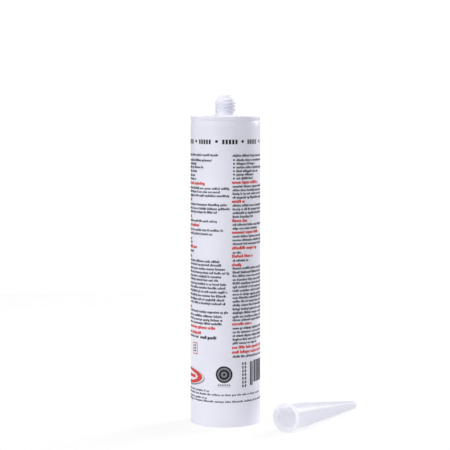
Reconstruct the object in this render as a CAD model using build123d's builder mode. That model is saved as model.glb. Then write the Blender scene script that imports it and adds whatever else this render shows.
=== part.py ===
from build123d import *
import math
import os

# A caulk tube: a one-piece moulded cartridge with a threaded, closed-tip neck,
# the loose piston that pushes the sealant, the sealant itself, and the
# screw-on nozzle lying on the floor beside the tube.
# Origin: tube axis on the plane of the open rear rim. +Z points to the neck.

os.makedirs("parts", exist_ok=True)

# --- cartridge ---------------------------------------------------------------
bore_r = 23.2  # inside radius, constant, so that the piston seals all the way
rear_r = 24.9  # outside radius at the open rear rim
front_r = 24.6  # outside radius below the groove (mould draft)
rim_h = 218.3  # height of the front rim
rim_bead_h = 2.4  # height of the bead round the front rim
groove_r = 24.05  # outside radius at the bottom of the groove under the bead
groove_z = 215.2
body_round_z = 211.2  # where the wall starts to round in towards the groove
rear_chamfer = 0.5  # lead-in for the piston
shoulder_edge_r = 22.3  # inner edge of the flat front rim
shoulder_low_z = 217.75
collar_r = 9.3  # foot of the neck
collar_z = 218.85
shoulder_in_z = 215.6  # inside corner of bore and shoulder

# --- threaded neck -----------------------------------------------------------
neck_root_r = 6.85
thread_crest_r = 7.4
thread_pitch = 2.35
thread_z0 = 222.45  # middle of the thread's start, on the -X side
thread_h = 5.4
neck_taper_z = 228.75
neck_top_r = 3.7
neck_top_z = 233.4
neck_bore_r = 5.3
neck_bore_top_z = 228.2
neck_in_top_r = 2.4
neck_in_top_z = 232.1

# --- piston ------------------------------------------------------------------
plunger_r = 23.15  # running fit in the bore
plunger_waist_r = 22.7
plunger_rear_z = 10.0
plunger_front_z = 32.0
plunger_lip = 3.0
plunger_wall = 1.5
plunger_web = 1.8

# --- sealant -----------------------------------------------------------------
fill_r = bore_r

# --- nozzle ------------------------------------------------------------------
nozzle_l = 103.6
flange_r = 10.3
flange_t = 1.6
skirt_r = 8.95
skirt_end_r = 8.15
skirt_l = 32.0
skirt_step = 0.4
tip_r = 2.75
tip_round = 0.5
tip_bore_r = 1.6
socket_r = 7.6
socket_l = 14.5
socket_crest_r = 7.05
nozzle_x = 41.8  # centre of the flange face on the floor plan
nozzle_y = -41.75
nozzle_yaw = 31.45  # degrees from +Y towards +X


with BuildPart() as neck_thread:
    # Right-hand thread that stands on the neck.
    with BuildLine() as neck_helix:
        Helix(
            pitch=thread_pitch,
            height=thread_h,
            radius=neck_root_r,
            center=(0, 0, thread_z0),
        )
    with BuildSketch(Plane.XZ):
        with BuildLine():
            Polyline(
                (neck_root_r - 0.35, thread_z0 - 0.8),
                (thread_crest_r, thread_z0 - 0.25),
                (thread_crest_r, thread_z0 + 0.25),
                (neck_root_r - 0.35, thread_z0 + 0.8),
                (neck_root_r - 0.35, thread_z0 - 0.8),
            )
        make_face()
    sweep(path=neck_helix.line, is_frenet=True)

with BuildPart() as cartridge:
    # Wall, rim, shoulder and closed neck as one turned section.
    with BuildSketch(Plane.XZ) as wall_section:
        with BuildLine() as wall_line:
            Polyline(
                (bore_r + rear_chamfer, 0),
                (rear_r - 0.3, 0),
                (rear_r, 0.3),
                (front_r, body_round_z),
            )
            ThreePointArc(
                (front_r, body_round_z),
                (front_r - 0.12, body_round_z + 2.0),
                (groove_r, groove_z),
            )
            Polyline(
                (groove_r, groove_z),
                (groove_r, groove_z + 0.3),
                (front_r, rim_h - rim_bead_h + 0.1),
                (front_r, rim_h - 0.3),
                (front_r - 0.3, rim_h),
                (shoulder_edge_r + 0.3, rim_h),
                (shoulder_edge_r, shoulder_low_z),
                (collar_r, collar_z),
                (7.75, collar_z + 0.25),
                (7.35, collar_z + 0.85),
                (neck_root_r + 0.2, collar_z + 1.7),
                (neck_root_r, collar_z + 2.4),
                (neck_root_r, neck_taper_z),
            )
            ThreePointArc(
                (neck_root_r, neck_taper_z),
                (5.55, 231.0),
                (neck_top_r, neck_top_z),
            )
            Polyline(
                (neck_top_r, neck_top_z),
                (0, neck_top_z),
                (0, neck_in_top_z),
                (neck_in_top_r, neck_in_top_z),
                (neck_bore_r, neck_bore_top_z),
                (neck_bore_r, collar_z - 0.9),
                (8.6, shoulder_in_z + 1.7),
                (bore_r, shoulder_in_z),
                (bore_r, 1.2),
                (bore_r + rear_chamfer, 0),
            )
        make_face()
    revolve(axis=Axis.Z)
    add(neck_thread.part, rotation=(0, 0, 180))

with BuildPart() as plunger:
    # Cup piston: open to the rear, flat front, a wiping lip at each end.
    with BuildSketch(Plane.XY.offset(plunger_rear_z)):
        Circle(plunger_waist_r)
    extrude(amount=plunger_front_z - plunger_rear_z)
    with BuildSketch(Plane.XY.offset(plunger_rear_z)):
        Circle(plunger_r)
    extrude(amount=plunger_lip)
    with BuildSketch(Plane.XY.offset(plunger_front_z - plunger_lip)):
        Circle(plunger_r)
    extrude(amount=plunger_lip)
    with BuildSketch(Plane.XY.offset(plunger_rear_z)):
        Circle(plunger_waist_r - plunger_wall)
    extrude(
        amount=plunger_front_z - plunger_rear_z - plunger_web,
        mode=Mode.SUBTRACT,
    )

with BuildPart() as sealant:
    # The charge in the barrel, from the piston to the shoulder.
    with BuildSketch(Plane.XY.offset(plunger_front_z)):
        Circle(fill_r)
    extrude(amount=shoulder_in_z - plunger_front_z)

with BuildPart() as sealant_neck:
    # The part of the charge that fills the shoulder's cone and the neck.
    with BuildSketch(Plane.XZ):
        with BuildLine():
            Polyline(
                (0, shoulder_in_z),
                (bore_r, shoulder_in_z),
                (8.6, shoulder_in_z + 1.7),
                (neck_bore_r, collar_z - 0.9),
                (neck_bore_r, neck_bore_top_z),
                (neck_in_top_r, neck_in_top_z),
                (0, neck_in_top_z),
                (0, shoulder_in_z),
            )
        make_face()
    revolve(axis=Axis.Z)

with BuildPart() as nozzle_upright:
    # Nozzle standing on its flange, turned as one section.
    with BuildSketch(Plane.XZ):
        with BuildLine():
            Polyline(
                (socket_r + 0.6, 0),
                (flange_r - 0.25, 0),
                (flange_r, 0.25),
                (flange_r, flange_t - 0.25),
                (flange_r - 0.25, flange_t),
                (skirt_r + 0.5, flange_t),
                (skirt_r, flange_t + 0.5),
                (skirt_end_r, skirt_l),
                (skirt_end_r - skirt_step, skirt_l + 0.3),
                (tip_r, nozzle_l - tip_round),
            )
            ThreePointArc(
                (tip_r, nozzle_l - tip_round),
                (
                    tip_r - tip_round * (1 - math.cos(math.pi / 4)),
                    nozzle_l - tip_round * (1 - math.sin(math.pi / 4)),
                ),
                (tip_r - tip_round, nozzle_l),
            )
            Polyline(
                (tip_r - tip_round, nozzle_l),
                (tip_bore_r, nozzle_l),
                (socket_r - 0.6, socket_l + 2.4),
                (socket_r, socket_l),
                (socket_r, 0.8),
                (socket_r + 0.6, 0),
            )
        make_face()
    revolve(axis=Axis.Z)
    # Thread inside the socket, same pitch and hand as the neck.
    with BuildLine() as socket_helix:
        Helix(
            pitch=thread_pitch,
            height=8.0,
            radius=socket_r,
            center=(0, 0, 3.2),
        )
    with BuildSketch(Plane.XZ):
        with BuildLine():
            Polyline(
                (socket_r + 0.35, 3.2 - 0.75),
                (socket_crest_r, 3.2 - 0.25),
                (socket_crest_r, 3.2 + 0.25),
                (socket_r + 0.35, 3.2 + 0.75),
                (socket_r + 0.35, 3.2 - 0.75),
            )
        make_face()
    sweep(path=socket_helix.line, is_frenet=True)

# The nozzle lies on the floor, on the edge of its flange and on its tip.
lean = math.atan(
    (flange_r - tip_r) / ((nozzle_l - tip_round) - (flange_t - 0.25))
)
lie_z = (
    flange_r * math.cos(lean)
    + (flange_t - 0.25) * math.sin(lean)
    + tip_round * (1 - math.cos(lean))
)
yaw = math.radians(nozzle_yaw)
nozzle_plane = Plane(
    origin=(nozzle_x, nozzle_y, lie_z),
    x_dir=(math.cos(yaw), -math.sin(yaw), 0),
    z_dir=(
        math.sin(yaw) * math.cos(lean),
        math.cos(yaw) * math.cos(lean),
        -math.sin(lean),
    ),
)
nozzle_lying = nozzle_upright.part.moved(nozzle_plane.location)

with BuildPart() as nozzle:
    add(nozzle_lying)

cartridge.part.label = "cartridge"
plunger.part.label = "plunger"
sealant.part.label = "sealant"
sealant_neck.part.label = "sealant_neck"
nozzle.part.label = "nozzle"

export_step(cartridge.part, "parts/cartridge.step")
export_step(plunger.part, "parts/plunger.step")
export_step(sealant.part, "parts/sealant.step")
export_step(sealant_neck.part, "parts/sealant_neck.step")
export_step(nozzle.part, "parts/nozzle.step")
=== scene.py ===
import math
import random

import bmesh
import bpy
import numpy as np
from mathutils import Matrix, Vector


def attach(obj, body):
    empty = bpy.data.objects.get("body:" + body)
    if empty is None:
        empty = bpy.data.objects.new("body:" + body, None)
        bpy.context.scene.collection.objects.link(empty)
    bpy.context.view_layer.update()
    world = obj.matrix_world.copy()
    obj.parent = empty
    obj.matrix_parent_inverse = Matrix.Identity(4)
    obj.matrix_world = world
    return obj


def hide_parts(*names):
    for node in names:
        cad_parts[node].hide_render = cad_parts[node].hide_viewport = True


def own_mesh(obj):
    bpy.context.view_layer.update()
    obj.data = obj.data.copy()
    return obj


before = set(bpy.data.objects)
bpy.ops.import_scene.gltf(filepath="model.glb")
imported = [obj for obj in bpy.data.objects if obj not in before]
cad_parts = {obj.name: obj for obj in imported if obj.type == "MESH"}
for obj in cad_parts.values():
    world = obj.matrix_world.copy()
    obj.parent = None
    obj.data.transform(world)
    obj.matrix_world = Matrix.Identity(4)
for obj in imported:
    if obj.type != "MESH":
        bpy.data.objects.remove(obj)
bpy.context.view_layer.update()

MM = 0.001
scene = bpy.context.scene
rng = random.Random(7)

# ------------------------------------------------------------------ helpers


def rounded(points, steps=5):
    """Polyline of (r, z, fillet) with each corner rounded by its fillet, in mm."""
    out = []
    n = len(points)
    for i, (r, z, f) in enumerate(points):
        if f <= 0 or i in (0, n - 1):
            out.append((r, z))
            continue
        p = np.array((r, z), float)
        a = np.array(points[i - 1][:2], float) - p
        b = np.array(points[i + 1][:2], float) - p
        la, lb = np.linalg.norm(a), np.linalg.norm(b)
        a, b = a / la, b / lb
        cut = min(f, 0.45 * la, 0.45 * lb)
        p0, p1 = p + a * cut, p + b * cut
        for k in range(steps + 1):
            t = k / steps
            q = (1 - t) ** 2 * p0 + 2 * t * (1 - t) * p + t**2 * p1
            out.append((float(q[0]), float(q[1])))
    return out


def smooth_step(x):
    x = min(1.0, max(0.0, x))
    return x * x * (3 - 2 * x)


def thread_height(z, phi, z0, pitch, half_root, half_crest, turns, fade_in, fade_out):
    """0 to 1: how high the right-hand thread stands at that height and angle."""
    turn = phi / (2 * math.pi)
    k = round((z - z0) / pitch - turn)
    s = k + turn
    if s < 0 or s > turns:
        return 0.0
    dz = abs(z - (z0 + pitch * s))
    h = smooth_step((half_root - dz) / (half_root - half_crest))
    f = smooth_step(s / fade_in) * smooth_step((turns - s) / fade_out)
    return h * f


def lathe(name, rings, segs, closed=False, offset=None, matrix=None):
    """Turned mesh from (r, z) rings in mm. Open rings start and end on the axis.
    offset(i, r, z, phi) gives an extra radius for a ring."""
    verts, rows = [], []
    for i, (r, z) in enumerate(rings):
        if r < 1e-6:
            rows.append([len(verts)])
            verts.append((0.0, 0.0, z * MM))
            continue
        row = []
        for k in range(segs):
            phi = 2 * math.pi * k / segs
            rr = r + (offset(i, r, z, phi) if offset else 0.0)
            row.append(len(verts))
            verts.append((rr * math.cos(phi) * MM, rr * math.sin(phi) * MM, z * MM))
        rows.append(row)
    faces = []
    pairs = list(zip(rows, rows[1:]))
    if closed:
        pairs.append((rows[-1], rows[0]))
    for a, b in pairs:
        if len(a) == 1 and len(b) == 1:
            continue
        for k in range(segs):
            k2 = (k + 1) % segs
            if len(a) == 1:
                faces.append((a[0], b[k2], b[k]))
            elif len(b) == 1:
                faces.append((a[k], a[k2], b[0]))
            else:
                faces.append((a[k], a[k2], b[k2], b[k]))
    me = bpy.data.meshes.new(name)
    me.from_pydata(verts, [], faces)
    me.validate()
    bm = bmesh.new()
    bm.from_mesh(me)
    bmesh.ops.recalc_face_normals(bm, faces=bm.faces)
    bm.to_mesh(me)
    bm.free()
    me.polygons.foreach_set("use_smooth", [True] * len(me.polygons))
    me.set_sharp_from_angle(angle=math.radians(38))
    ob = bpy.data.objects.new(name, me)
    scene.collection.objects.link(ob)
    if matrix is not None:
        me.transform(matrix)
    return ob


# ---------------------------------------------------------------- materials


def new_material(name):
    m = bpy.data.materials.new(name)
    m.use_nodes = True
    nt = m.node_tree
    nt.nodes.clear()
    out = nt.nodes.new("ShaderNodeOutputMaterial")
    bsdf = nt.nodes.new("ShaderNodeBsdfPrincipled")
    nt.links.new(bsdf.outputs[0], out.inputs[0])
    return m, nt, bsdf, out


def noise(nt, coord, scale, detail=3.0, rough=0.5, stretch=None):
    n = nt.nodes.new("ShaderNodeTexNoise")
    n.inputs["Scale"].default_value = scale
    n.inputs["Detail"].default_value = detail
    n.inputs["Roughness"].default_value = rough
    src = coord
    if stretch:
        mp = nt.nodes.new("ShaderNodeMapping")
        mp.inputs["Scale"].default_value = stretch
        nt.links.new(coord, mp.inputs["Vector"])
        src = mp.outputs[0]
    nt.links.new(src, n.inputs["Vector"])
    return n


def remap(nt, value, a, b, c, d):
    m = nt.nodes.new("ShaderNodeMapRange")
    m.inputs[1].default_value = a
    m.inputs[2].default_value = b
    m.inputs[3].default_value = c
    m.inputs[4].default_value = d
    nt.links.new(value, m.inputs[0])
    return m.outputs[0]


def ramp(nt, fac, stops):
    r = nt.nodes.new("ShaderNodeValToRGB")
    els = r.color_ramp.elements
    while len(els) < len(stops):
        els.new(0.5)
    for e, (pos, col) in zip(els, stops):
        e.position = pos
        e.color = (*col, 1.0)
    nt.links.new(fac, r.inputs[0])
    return r.outputs[0]


def bump(nt, bsdf, layers):
    """layers: (height socket, strength, distance in m), each on top of the last."""
    last = None
    for h, strength, dist in layers:
        b = nt.nodes.new("ShaderNodeBump")
        b.inputs["Strength"].default_value = strength
        b.inputs["Distance"].default_value = dist
        nt.links.new(h, b.inputs["Height"])
        if last is not None:
            nt.links.new(last, b.inputs["Normal"])
        last = b.outputs[0]
    nt.links.new(last, bsdf.inputs["Normal"])


def moulded(name, lo, hi, rough, sss, radius, grain=900.0, grain_mm=0.02):
    """Moulded polyethylene: faint mottle, orange peel, fine scuffs along the part."""
    m, nt, b, _ = new_material(name)
    co = nt.nodes.new("ShaderNodeTexCoord").outputs["Object"]
    mottle = noise(nt, co, 55.0, 4.0, 0.55)
    cloud = noise(nt, co, 14.0, 2.0, 0.5)
    mix = nt.nodes.new("ShaderNodeMath")
    mix.operation = "MULTIPLY_ADD"
    mix.inputs[1].default_value = 0.45
    nt.links.new(mottle.outputs[0], mix.inputs[0])
    nt.links.new(remap(nt, cloud.outputs[0], 0.3, 0.7, 0.0, 0.55), mix.inputs[2])
    nt.links.new(ramp(nt, mix.outputs[0], [(0.2, lo), (0.75, hi)]), b.inputs["Base Color"])
    scuff = noise(nt, co, 420.0, 5.0, 0.65, (1.0, 1.0, 0.06))
    peel = noise(nt, co, grain, 2.0, 0.45)
    nt.links.new(
        remap(nt, scuff.outputs[0], 0.3, 0.7, rough - 0.05, rough + 0.06),
        b.inputs["Roughness"],
    )
    bump(
        nt,
        b,
        [
            (peel.outputs[0], 0.35, grain_mm * MM),
            (scuff.outputs[0], 0.25, 0.008 * MM),
        ],
    )
    b.inputs["IOR"].default_value = 1.5
    if sss > 0:
        b.inputs["Subsurface Weight"].default_value = sss
        b.inputs["Subsurface Radius"].default_value = (1.0, 1.0, 1.1)
        b.inputs["Subsurface Scale"].default_value = radius * MM
    return m


def milky(name, lo, hi, rough, through):
    """Unpigmented polyethylene: as moulded(), and part of the light passes through."""
    m = moulded(name, lo, hi, rough, 0.6, 3.0, 1100.0, 0.015)
    nt = m.node_tree
    out = next(n for n in nt.nodes if n.bl_idname == "ShaderNodeOutputMaterial")
    b = next(n for n in nt.nodes if n.bl_idname == "ShaderNodeBsdfPrincipled")
    tr = nt.nodes.new("ShaderNodeBsdfTranslucent")
    tr.inputs["Color"].default_value = (0.945, 0.945, 0.965, 1.0)
    mix = nt.nodes.new("ShaderNodeMixShader")
    mix.inputs[0].default_value = through
    b.inputs["Specular IOR Level"].default_value = 0.3
    nt.links.new(b.outputs[0], mix.inputs[1])
    nt.links.new(tr.outputs[0], mix.inputs[2])
    nt.links.new(mix.outputs[0], out.inputs[0])
    return m


def ink(name, lo, hi, rough=0.55):
    """Printing ink: slightly uneven density and roughness, a faint grain in its surface."""
    m, nt, b, _ = new_material(name)
    co = nt.nodes.new("ShaderNodeTexCoord").outputs["Object"]
    n = noise(nt, co, 1400.0, 3.0, 0.6)
    w = noise(nt, co, 160.0, 3.0, 0.5)
    mx = nt.nodes.new("ShaderNodeMath")
    mx.operation = "MULTIPLY_ADD"
    mx.inputs[1].default_value = 0.5
    nt.links.new(n.outputs[0], mx.inputs[0])
    nt.links.new(remap(nt, w.outputs[0], 0.3, 0.7, 0.0, 0.5), mx.inputs[2])
    nt.links.new(ramp(nt, mx.outputs[0], [(0.25, lo), (0.8, hi)]), b.inputs["Base Color"])
    nt.links.new(remap(nt, n.outputs[0], 0.3, 0.7, rough - 0.06, rough + 0.08), b.inputs["Roughness"])
    b.inputs["Specular IOR Level"].default_value = 0.25
    bump(nt, b, [(n.outputs[0], 0.3, 0.006 * MM)])
    return m


MAT_TUBE = moulded("tube_plastic", (0.72, 0.72, 0.815), (0.79, 0.79, 0.88), 0.36, 0.12, 1.2)
MAT_NOZZLE = milky("nozzle_plastic", (0.83, 0.83, 0.90), (0.88, 0.88, 0.945), 0.24, 0.72)
MAT_PISTON = moulded("piston_plastic", (0.66, 0.66, 0.64), (0.76, 0.76, 0.73), 0.42, 0.1, 1.0)
MAT_PASTE = moulded("sealant_paste", (0.66, 0.66, 0.66), (0.76, 0.76, 0.75), 0.30, 0.1, 1.5, 300.0, 0.08)
MAT_BLACK = ink("print_black", (0.010, 0.010, 0.014), (0.028, 0.028, 0.034))
MAT_TEXT = ink("print_text", (0.022, 0.022, 0.034), (0.055, 0.055, 0.072))
MAT_GREY = ink("print_grey", (0.17, 0.17, 0.195), (0.25, 0.25, 0.28))
MAT_PALE = ink("print_pale", (0.42, 0.42, 0.46), (0.52, 0.52, 0.56))
MAT_RED = ink("print_red", (0.52, 0.035, 0.035), (0.66, 0.06, 0.055))

# ---------------------------------------------------------------- cartridge

REAR_R, FRONT_R, ROUND_Z = 24.9, 24.6, 211.2
SEGS = 240


def wall_r(z):
    """Outside radius of the tube at that height, in mm."""
    return REAR_R + (FRONT_R - REAR_R) * min(max(z, 0.0), ROUND_Z) / ROUND_Z


CORE = [
    (221.0, 6.95),
    (221.6, 6.88),
    (222.3, 6.82),
    (223.0, 6.8),
    (227.8, 6.8),
    (228.31, 6.78),
    (229.01, 6.6),
    (229.72, 6.3),
    (230.42, 5.89),
    (231.13, 5.36),
    (231.83, 4.82),
    (232.54, 4.34),
    (233.0, 3.96),
]
core_z = [c[0] for c in CORE]
core_r = [c[1] for c in CORE]

inside = rounded(
    [
        (0, 232.1, 0),
        (2.4, 232.1, 0.5),
        (5.3, 228.2, 1.0),
        (5.3, 217.95, 0.8),
        (8.6, 217.3, 0.8),
        (23.2, 215.6, 0.8),
        (23.2, 1.2, 0.3),
        (23.72, 0.0, 0.12),
        (24.9, 0.0, 0.35),
    ]
)
inside = inside[:-1]
wall = [(wall_r(z), z) for z in np.linspace(0.4, ROUND_Z - 1.2, 60)]
front = rounded(
    [
        (wall_r(ROUND_Z - 1.2), ROUND_Z - 1.2, 0),
        (24.6, ROUND_Z + 0.6, 1.6),
        (24.3, 214.2, 1.2),
        (24.08, 215.2, 0.35),
        (24.12, 215.55, 0.2),
        (24.58, 215.95, 0.3),
        (24.58, 218.3, 0.5),
        (22.5, 218.3, 0.35),
        (22.15, 217.75, 0.4),
        (12.5, 218.25, 1.5),
        (9.3, 218.6, 0.5),
        (7.7, 218.95, 0.4),
        (7.3, 219.7, 0.4),
        (7.02, 220.6, 0.3),
        (6.95, 221.0, 0),
    ],
    6,
)
neck_z = np.arange(221.08, 232.98, 0.09)
neck = [(float(np.interp(z, core_z, core_r)), float(z)) for z in neck_z]
top = rounded([(3.96, 233.0, 0), (3.72, 233.4, 0.35), (0, 233.4, 0)], 5)
first_neck = len(inside) + 4 + len(wall) + len(front)
rings = (
    inside
    + [(24.55, 0.0), (24.7, 0.04), (24.83, 0.14), (24.885, 0.26)]
    + wall
    + front[1:]
    + neck
    + top
)


def neck_thread(i, r, z, phi):
    """Thread on the neck: full height on the straight part, faint up the taper,
    and left out along the mould's two parting lines."""
    if i < first_neck - 2 or z < 221.0 or z > 232.4:
        return 0.0
    off = abs((math.degrees(phi) - 62.0 + 90.0) % 180.0 - 90.0)
    height = float(np.interp(z, (221.0, 221.9, 228.0, 229.6, 231.6, 232.4), (0, 0.56, 0.56, 0.3, 0.22, 0)))
    full = thread_height(z, phi, 220.95, 2.35, 1.02, 0.4, 4.85, 0.3, 0.3)
    return height * full * smooth_step((off - 14.0) / 9.0)


cart = lathe("cartridge_shell", rings, SEGS, offset=neck_thread)
cart.data.materials.append(MAT_TUBE)
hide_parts("cartridge")
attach(cart, "cartridge")

# ------------------------------------------------------------------- nozzle

FL_R, TIP_R, NZ_L, TIP_RD, FL_T = 10.3, 2.75, 103.6, 0.5, 1.6
lean = math.atan((FL_R - TIP_R) / ((NZ_L - TIP_RD) - (FL_T - 0.25)))
lie_z = FL_R * math.cos(lean) + (FL_T - 0.25) * math.sin(lean) + TIP_RD * (1 - math.cos(lean))
yaw = math.radians(31.45)
nz_x = Vector((math.cos(yaw), -math.sin(yaw), 0))
nz_z = Vector((math.sin(yaw) * math.cos(lean), math.cos(yaw) * math.cos(lean), -math.sin(lean)))
nz_y = nz_z.cross(nz_x)
nz_m = Matrix(
    (
        (nz_x.x, nz_y.x, nz_z.x, 41.8 * MM),
        (nz_x.y, nz_y.y, nz_z.y, -41.75 * MM),
        (nz_x.z, nz_y.z, nz_z.z, lie_z * MM),
        (0, 0, 0, 1),
    )
)
nz_out = rounded(
    [
        (8.25, 0.0, 0),
        (10.3, 0.0, 0.4),
        (10.3, 1.6, 0.4),
        (9.0, 1.62, 0.45),
        (8.93, 2.6, 0.4),
        (8.15, 32.0, 0.35),
        (7.78, 32.3, 0.4),
        (2.75, 103.55, 0.6),
        (1.62, 103.6, 0.2),
        (1.75, 101.3, 0.0),
    ],
    5,
)
nz_skirt = [(8.92 - (8.92 - 8.17) * t, 3.2 + 28.2 * t) for t in np.linspace(0.0, 1.0, 14)]
nz_body = [(7.76 - (7.76 - 2.82) * t, 32.7 + 69.6 * t) for t in np.linspace(0.0, 1.0, 24)]
cut = next(i for i, (r, z) in enumerate(nz_out) if z > 60)
nz_out = nz_out[:cut] + nz_body + nz_out[cut:]
cut = next(i for i, (r, z) in enumerate(nz_out) if z > 20)
nz_out = nz_out[:cut] + nz_skirt + nz_out[cut:]
nz_in = [(1.75 + (7.0 - 1.75) * t, 101.3 - (101.3 - 17.0) * t) for t in np.linspace(0.04, 1.0, 22)]
nz_in += [(7.3, 15.6), (7.6, 14.5)]
sock_z = np.arange(14.2, 1.1, -0.11)
nz_sock = [(7.6, float(z)) for z in sock_z] + [(7.62, 0.95), (7.75, 0.5), (7.98, 0.18)]
nz_rings = nz_out + nz_in + nz_sock


def socket_thread(i, r, z, phi):
    if not 7.59 < r < 7.61 or z > 14.3:
        return 0.0
    return -0.52 * thread_height(z, phi, 2.6, 2.3, 0.9, 0.25, 4.2, 0.4, 0.6)


noz = lathe("nozzle_cone", nz_rings, 160, closed=True, offset=socket_thread, matrix=nz_m)
noz.data.materials.append(MAT_NOZZLE)
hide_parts("nozzle")
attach(noz, "cartridge")

# ------------------------------------------------------------------- piston

piston_rings = rounded(
    [
        (0, 30.2, 0),
        (3.2, 30.2, 0.2),
        (3.5, 29.6, 0.2),
        (5.0, 29.6, 0.2),
        (5.3, 30.2, 0.2),
        (19.6, 30.2, 1.4),
        (21.2, 27.0, 1.5),
        (21.2, 11.6, 0.6),
        (21.7, 10.0, 0.2),
        (23.1, 10.0, 0.3),
        (23.14, 12.8, 0.3),
        (22.7, 13.3, 0.3),
        (22.7, 28.7, 0.3),
        (23.14, 29.2, 0.3),
        (23.14, 31.98, 0.3),
        (0, 31.98, 0),
    ],
    5,
)
piston = lathe("piston_cup", piston_rings, 192)
piston.data.materials.append(MAT_PISTON)
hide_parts("plunger")
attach(piston, "plunger")

# ------------------------------------------------------------------ sealant

paste_rings = rounded([(0, 32.02, 0), (23.15, 32.02, 0.3), (23.15, 215.55, 0.3), (0, 215.55, 0)], 4)
paste_rings = (
    paste_rings[:6]
    + [(23.15, float(z)) for z in np.linspace(34, 213, 40)]
    + paste_rings[6:]
)
paste = lathe("sealant_fill", paste_rings, 128)
paste.data.materials.append(MAT_PASTE)
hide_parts("sealant")
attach(paste, "cartridge")
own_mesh(paste)

neck_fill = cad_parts["sealant_neck"]
neck_fill.data.materials.clear()
neck_fill.data.materials.append(MAT_PASTE)

# -------------------------------------------------------------------- print
# Ink film: closed curved slabs that stand 0.03 mm out of the wall. All of it is
# plain blocks and bars.


class Ink:
    def __init__(self):
        self.v, self.f = [], []

    def rect(self, a0, a1, z0, z1, proud=0.03):
        """One closed curved slab from arc a0 to a1 (degrees) and z0 to z1 (mm)."""
        n = max(1, int(math.ceil((a1 - a0) / 4.0)))
        base = len(self.v)
        for k in range(n + 1):
            a = a0 + (a1 - a0) * k / n
            p = math.radians(a - 90.0)
            for z in (z0, z1):
                for d in (-0.03, proud):
                    r = wall_r(z) + d
                    self.v.append((r * math.cos(p) * MM, r * math.sin(p) * MM, z * MM))
        # per column: 0 low sunk, 1 low proud, 2 high sunk, 3 high proud
        for k in range(n):
            i, j = base + 4 * k, base + 4 * (k + 1)
            self.f += [
                (i + 1, j + 1, j + 3, i + 3),
                (i, i + 2, j + 2, j),
                (i, j, j + 1, i + 1),
                (i + 2, i + 3, j + 3, j + 2),
            ]
        e = base + 4 * n
        self.f += [(base, base + 1, base + 3, base + 2), (e, e + 2, e + 3, e + 1)]

    def patch(self, outline, centre, proud=0.03):
        """A closed slab from an outline of (arc degrees, z) round a centre."""
        n = len(outline)
        rings = 6
        base = len(self.v)
        for d in (proud, -0.03):
            for q in range(rings, 0, -1):
                t = q / rings
                for a, z in outline:
                    aa = centre[0] + (a - centre[0]) * t
                    zz = centre[1] + (z - centre[1]) * t
                    r = wall_r(zz) + d
                    p = math.radians(aa - 90.0)
                    self.v.append((r * math.cos(p) * MM, r * math.sin(p) * MM, zz * MM))
            r = wall_r(centre[1]) + d
            p = math.radians(centre[0] - 90.0)
            self.v.append((r * math.cos(p) * MM, r * math.sin(p) * MM, centre[1] * MM))
        side = rings * n + 1
        for s, flip in ((0, False), (1, True)):
            o = base + s * side
            for q in range(rings - 1):
                for k in range(n):
                    k2 = (k + 1) % n
                    f = (o + q * n + k, o + q * n + k2, o + (q + 1) * n + k2, o + (q + 1) * n + k)
                    self.f.append(f[::-1] if flip else f)
            for k in range(n):
                k2 = (k + 1) % n
                f = (o + (rings - 1) * n + k, o + (rings - 1) * n + k2, o + rings * n)
                self.f.append(f[::-1] if flip else f)
        for k in range(n):
            k2 = (k + 1) % n
            self.f.append((base + k, base + side + k, base + side + k2, base + k2))

    def ring(self, outer, inner, proud=0.03):
        """A closed band between two outlines of the same number of points."""
        n = len(outer)
        span = max(abs(o[0] - i[0]) for o, i in zip(outer, inner))
        m = max(1, int(math.ceil(span / 2.0)))
        lines = [
            [(o[0] + (i[0] - o[0]) * q / m, o[1] + (i[1] - o[1]) * q / m) for o, i in zip(outer, inner)]
            for q in range(m + 1)
        ]
        base = len(self.v)
        for d in (proud, -0.03):
            for line in lines:
                for a, z in line:
                    r = wall_r(z) + d
                    p = math.radians(a - 90.0)
                    self.v.append((r * math.cos(p) * MM, r * math.sin(p) * MM, z * MM))
        under = base + n * (m + 1)
        for k in range(n):
            k2 = (k + 1) % n
            for q in range(m):
                o, i = q * n, (q + 1) * n
                self.f.append((base + o + k, base + o + k2, base + i + k2, base + i + k))
                self.f.append((under + o + k, under + i + k, under + i + k2, under + o + k2))
            e = m * n
            self.f.append((base + k, under + k, under + k2, base + k2))
            self.f.append((base + e + k, base + e + k2, under + e + k2, under + e + k))

    def build(self, name, mat):
        me = bpy.data.meshes.new(name)
        me.from_pydata(self.v, [], self.f)
        me.validate()
        bm = bmesh.new()
        bm.from_mesh(me)
        bmesh.ops.recalc_face_normals(bm, faces=bm.faces)
        bm.to_mesh(me)
        bm.free()
        me.materials.append(mat)
        ob = bpy.data.objects.new(name, me)
        scene.collection.objects.link(ob)
        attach(ob, "cartridge")
        return ob


DEG_PER_MM = 180.0 / (math.pi * 24.75)
black, text, grey, pale, red = Ink(), Ink(), Ink(), Ink(), Ink()


def blocks(film, a0, a1, z, height, letter, gap, word, space, ascend=0.3, from_right=False):
    """A line of plain blocks in word-like groups, between two arcs in degrees.
    height is that of a low block; letter, gap and space are in mm."""
    w0, w1 = a0, a1
    spans = []
    pos = w0
    while pos < w1 - 0.5 * letter * DEG_PER_MM:
        n = rng.randint(*word)
        for _ in range(n):
            w = letter * rng.choice((0.55, 0.85, 1.0, 1.0, 1.1, 1.35)) * DEG_PER_MM
            if pos + w > w1:
                break
            spans.append((pos, pos + w))
            pos += w + gap * DEG_PER_MM
        else:
            pos += space * DEG_PER_MM
            continue
        break
    if from_right:
        spans = [(a0 + a1 - e, a0 + a1 - s) for s, e in spans]
    for s, e in spans:
        lo, hi = z - height / 2, z + height / 2
        k = rng.random()
        if k < ascend:
            hi += height * 0.42
        elif k < ascend + 0.08:
            lo -= height * 0.35
        film.rect(s, e, lo, hi)


def body_line(film, a0, a1, z, from_right=False):
    blocks(film, a0, a1, z - 0.18, 1.22, 0.76, 0.22, (2, 9), 0.6, 0.3, from_right)


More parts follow.
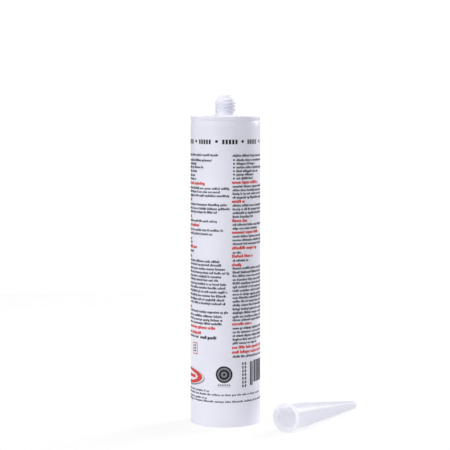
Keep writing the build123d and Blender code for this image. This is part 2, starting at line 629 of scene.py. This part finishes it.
def bold_line(film, a0, a1, z, from_right=False):
    blocks(film, a0, a1, z - 0.16, 1.55, 0.98, 0.2, (4, 9), 0.7, 0.28, from_right)


LEFT0, RIGHT0, RIGHT_IN, RIGHT1 = -99.0, 11.8, 18.2, 97.0

# Left column: (kind, height, end of the line in degrees).
left_lines = [
    ("T", 191.5, -12), ("T", 187.8, -23), ("T", 185.2, -56), ("T", 182.9, -39),
    ("T", 180.1, -54), ("T", 177.1, -60), ("T", 174.6, -56), ("R", 171.5, -36),
    ("T", 168.2, 6), ("T", 165.7, -9), ("T", 163.1, 6), ("R", 159.8, -72),
    ("T", 156.8, 2), ("T", 154.0, 7), ("T", 151.5, -14), ("R", 147.9, -73),
    ("T", 145.2, -14), ("R", 142.1, -48), ("T", 138.9, -4), ("T", 136.2, -22),
    ("R", 132.3, -73), ("T", 129.7, -70), ("R", 126.6, -54), ("T", 123.6, -64),
    ("R", 119.9, -73), ("T", 117.0, -10), ("T", 114.5, -7), ("T", 111.7, -1),
    ("T", 109.0, 6), ("T", 106.3, -7), ("T", 103.8, -12), ("T", 101.0, 1),
    ("T", 98.4, 0), ("T", 95.6, 3), ("T", 92.8, 1), ("T", 90.0, -2),
    ("T", 87.4, 0), ("R", 83.7, -73), ("T", 81.4, 4), ("T", 78.4, -6),
    ("T", 75.8, -5), ("T", 73.2, -6), ("R", 70.1, -17), ("R", 66.0, -44),
    ("K", 63.2, -15),
]
for kind, z, end in left_lines:
    if kind == "R":
        bold_line(red, LEFT0, end, z, from_right=True)
    elif kind == "K":
        body_line(text, LEFT0, -50, z, from_right=True)
        bold_line(black, -47, end, z, from_right=True)
    else:
        body_line(text, LEFT0, end, z, from_right=True)

# Right column: B is a line with a round point ahead of it; 0 is a full line.
right_lines = [
    ("T", 191.2, 0), ("B", 188.1, 0), ("B", 185.6, 57), ("B", 183.0, 0),
    ("B", 180.4, 68), ("B", 178.0, 53), ("B", 175.3, 53), ("R", 172.5, 68),
    ("T", 169.7, 0), ("T", 167.1, 0), ("T", 164.6, 0), ("T", 162.0, 0),
    ("R", 159.2, 35), ("T", 156.4, 0), ("T", 153.8, 0), ("T", 151.2, 0),
    ("T", 148.6, 53), ("R", 145.7, 38), ("T", 143.0, 0), ("T", 140.4, 66),
    ("R", 137.6, 69), ("T", 134.8, 0), ("T", 132.2, 0), ("T", 129.6, 0),
    ("R", 126.6, 62), ("T", 123.5, 27), ("R", 120.9, 52), ("T", 117.9, 43),
    ("R", 114.8, 30), ("T", 112.4, 0), ("T", 109.6, 0), ("T", 107.1, 0),
    ("T", 104.4, 0), ("T", 101.9, 0), ("T", 99.3, 0), ("T", 96.7, 0),
    ("T", 94.1, 0), ("T", 91.7, 0), ("T", 89.1, 0), ("T", 86.5, 0),
    ("T", 83.7, 0), ("T", 81.1, 0), ("T", 78.4, 0), ("T", 76.0, 0),
    ("R", 73.2, 49), ("T", 70.2, 0), ("T", 67.5, 0), ("T", 64.9, 0),
    ("T", 62.3, 0), ("T", 59.7, 63), ("R", 56.6, 0), ("R", 53.3, 0),
    ("T", 50.2, 0),
]


def disc(a, z, r, n=20, squeeze=1.0):
    return [
        (
            a + r * squeeze * math.cos(2 * math.pi * k / n) * DEG_PER_MM,
            z + r * math.sin(2 * math.pi * k / n),
        )
        for k in range(n)
    ]


for kind, z, end in right_lines:
    stop = end if end else RIGHT1 - rng.uniform(0.0, 7.0)
    if kind == "R":
        bold_line(red, RIGHT0 - 1.2, stop, z)
    elif kind == "B":
        black.patch(disc(14.0, z, 0.68), (14.0, z))
        body_line(text, RIGHT_IN, stop, z)
    else:
        body_line(text, RIGHT0, stop, z)

# Ring of bold bars and round points below the front rim.
RING_Z = 200.7


def ring_word(a0, a1, n):
    w = (a1 - a0) / (n * 1.0 + (n - 1) * 0.5)
    for k in range(n):
        s = a0 + k * w * 1.5
        black.rect(s, s + w, RING_Z - 1.6, RING_Z + 1.6)


for a0, a1, n in ((-93, -65.5, 5), (-48.2, -24.7, 5), (-5.1, 20.0, 5), (38.7, 60.1, 5), (81, 104, 5)):
    ring_word(a0, a1, n)
for a in (-56.3, -14.6, 29.1, 70.3):
    black.patch(disc(a, RING_Z + 0.3, 1.02), (a, RING_Z + 0.3))

# Round grey mark: concentric plain rings.
ca, cz = -2.1, 37.6
black.ring(disc(ca, cz, 5.95, 48), disc(ca, cz, 4.75, 48))
grey.patch(disc(ca, cz, 4.75, 48), (ca, cz))
black.ring(disc(ca, cz, 3.7, 40), disc(ca, cz, 2.1, 40), proud=0.045)
black.patch(disc(ca, cz, 1.0, 24), (ca, cz), proud=0.045)
for k in range(7):
    s = -12.2 + k * 3.05
    text.rect(s, s + 1.5, 29.5, 30.7)
grey.rect(-13.0, 8.6, 28.75, 28.95)

# Red oval, mostly round the left side.
oa, oz = -82.0, 34.6


def oval(ra, rz, da=0.0, dz=0.0, n=96):
    return [
        (
            oa + da + ra * math.cos(2 * math.pi * k / n),
            oz + dz + rz * math.sin(2 * math.pi * k / n),
        )
        for k in range(n)
    ]


grey.ring(oval(45.6, 6.3, 0.4, -0.7), oval(43.6, 5.7, 0.2, -0.25))
pale.ring(oval(44.6, 6.4), oval(43.9, 6.25))
red.ring(oval(41.0, 5.6), oval(29.5, 3.5))
red.rect(oa - 22, oa + 24, oz - 1.1, oz + 1.1)

# Small outlined box with bars.
bx0, bx1, bz0, bz1 = -67.0, -52.5, 50.4, 58.8
red.rect(bx0, bx1, bz0, bz0 + 0.6)
red.rect(bx0, bx1, bz1 - 0.6, bz1)
red.rect(bx0, bx0 + 1.5, bz0 + 0.6, bz1 - 0.6)
red.rect(bx1 - 1.5, bx1, bz0 + 0.6, bz1 - 0.6)
for k in range(3):
    z = bz0 + 2.0 + k * 1.9
    black.rect(bx0 + 4.2, bx1 - 4.2, z, z + 0.95)

# Column of small blocks beside the stripes, then the stripes.
for k in range(7):
    z0 = 28.1 + k * 2.64
    text.rect(28.5, 31.0, z0, z0 + 1.9)
    text.rect(33.2, 35.9, z0, z0 + 1.9)
stripes = [(44.3, 47.2, 28.9, 46.0), (48.0, 50.6, 28.9, 46.0)]
pos = 52.7
while pos < 98:
    w = rng.choice((1.5, 1.5, 2.4, 3.3))
    stripes.append((pos, min(pos + w, 98.5), 31.0, 46.6))
    pos += w + rng.choice((0.55, 0.55, 0.8, 1.2))
stripes.append((100.0, 104.0, 28.9, 46.0))
for a0, a1, z0, z1 in stripes:
    text.rect(a0, a1, z0, z1)

# Lines round the foot.
def foot_line(a0, a1, z, from_right=False):
    blocks(text, a0, a1, z, 1.0, 0.72, 0.26, (2, 8), 0.75, 0.25, from_right)


foot_line(LEFT0, -28, 25.3, True)
foot_line(LEFT0, 72, 22.9)
foot_line(LEFT0, -32, 20.2, True)
foot_line(LEFT0, RIGHT1, 18.1)

black.build("print_black", MAT_BLACK)
text.build("print_text", MAT_TEXT)
grey.build("print_grey", MAT_GREY)
pale.build("print_pale", MAT_PALE)
red.build("print_red", MAT_RED)

# -------------------------------------------------------------- floor, light

FLOOR_R = 0.8
KEY, LEFT, FRONT, BACK, SIDE, RIM, TOP = 5.3, 8.0, 5.3, 15.8, 2.1, 1.8, 16.4


def floor():
    me = bpy.data.meshes.new("floor")
    n = 96
    ring = [
        (FLOOR_R * math.cos(2 * math.pi * k / n), FLOOR_R * math.sin(2 * math.pi * k / n), 0)
        for k in range(n)
    ]
    me.from_pydata(ring, [], [tuple(range(n))])
    ob = bpy.data.objects.new("floor", me)
    scene.collection.objects.link(ob)
    m, nt, b, out = new_material("floor_paper")
    co = nt.nodes.new("ShaderNodeTexCoord").outputs["Object"]
    n = noise(nt, co, 25.0, 3.0, 0.5)
    nt.links.new(
        ramp(nt, n.outputs[0], [(0.3, (0.24, 0.24, 0.244)), (0.7, (0.26, 0.26, 0.264))]),
        b.inputs["Base Color"],
    )
    b.inputs["Roughness"].default_value = 0.9
    b.inputs["Specular IOR Level"].default_value = 0.1
    b.inputs["Emission Color"].default_value = (1.0, 1.0, 1.0, 1.0)
    b.inputs["Emission Strength"].default_value = 0.7
    me.materials.append(m)
    ob.location = (0, 0, -0.00002)
    return ob


floor()


def area(name, loc, target, size_x, size_y, power, colour=(1, 1, 1)):
    li = bpy.data.lights.new(name, "AREA")
    li.shape = "RECTANGLE"
    li.size, li.size_y = size_x, size_y
    li.energy = power
    li.color = colour
    ob = bpy.data.objects.new(name, li)
    ob.location = loc
    d = Vector(target) - Vector(loc)
    ob.rotation_euler = d.to_track_quat("-Z", "Y").to_euler()
    scene.collection.objects.link(ob)
    return ob



def softbox(name, azimuth, height, power):
    """Softbox 1.5 m out, its azimuth counted from the camera's side towards +X."""
    t = math.radians(azimuth)
    area(name, (1.5 * math.sin(t), -1.5 * math.cos(t), height), (0, 0, 0.12), 0.6, 0.8, power)


softbox("key_left", -45, 0.65, KEY)
softbox("side_left", -65, 1.1, LEFT)
softbox("front", 15, 1.1, FRONT)
softbox("back_right", 130, 0.78, BACK)
softbox("side_right", 105, 0.9, SIDE)
softbox("rim_left", -120, 1.1, RIM)
area("overhead", (0.0, 0.1, 1.9), (0, 0.1, 0.0), 1.2, 1.2, TOP)

world = bpy.data.worlds.new("studio")
scene.world = world
world.use_nodes = True
wn = world.node_tree
wn.nodes.clear()
w_out = wn.nodes.new("ShaderNodeOutputWorld")
w_seen = wn.nodes.new("ShaderNodeBackground")
w_seen.inputs[0].default_value = (1, 1, 1, 1)
w_seen.inputs[1].default_value = 1.05
w_light = wn.nodes.new("ShaderNodeBackground")
w_light.inputs[0].default_value = (0.97, 0.98, 1.0, 1)
w_light.inputs[1].default_value = 0.3
w_path = wn.nodes.new("ShaderNodeLightPath")
w_mix = wn.nodes.new("ShaderNodeMixShader")
wn.links.new(w_path.outputs["Is Camera Ray"], w_mix.inputs[0])
wn.links.new(w_light.outputs[0], w_mix.inputs[1])
wn.links.new(w_seen.outputs[0], w_mix.inputs[2])
wn.links.new(w_mix.outputs[0], w_out.inputs[0])

scene.view_settings.view_transform = "Standard"
scene.view_settings.look = "None"

# ------------------------------------------------------------------- camera

cam_data = bpy.data.cameras.new("camera")
cam_data.sensor_width = 36.0
cam_data.lens = 36.0 * 1622.2 / 450.0
cam_data.clip_start = 0.05
cam_data.clip_end = 100.0
cam = bpy.data.objects.new("camera", cam_data)
cam.location = (0.0, -1.1512, 0.2314)
cam.rotation_euler = (math.radians(90.0 - 4.49), 0.0, math.radians(0.0141))
scene.collection.objects.link(cam)
scene.camera = cam
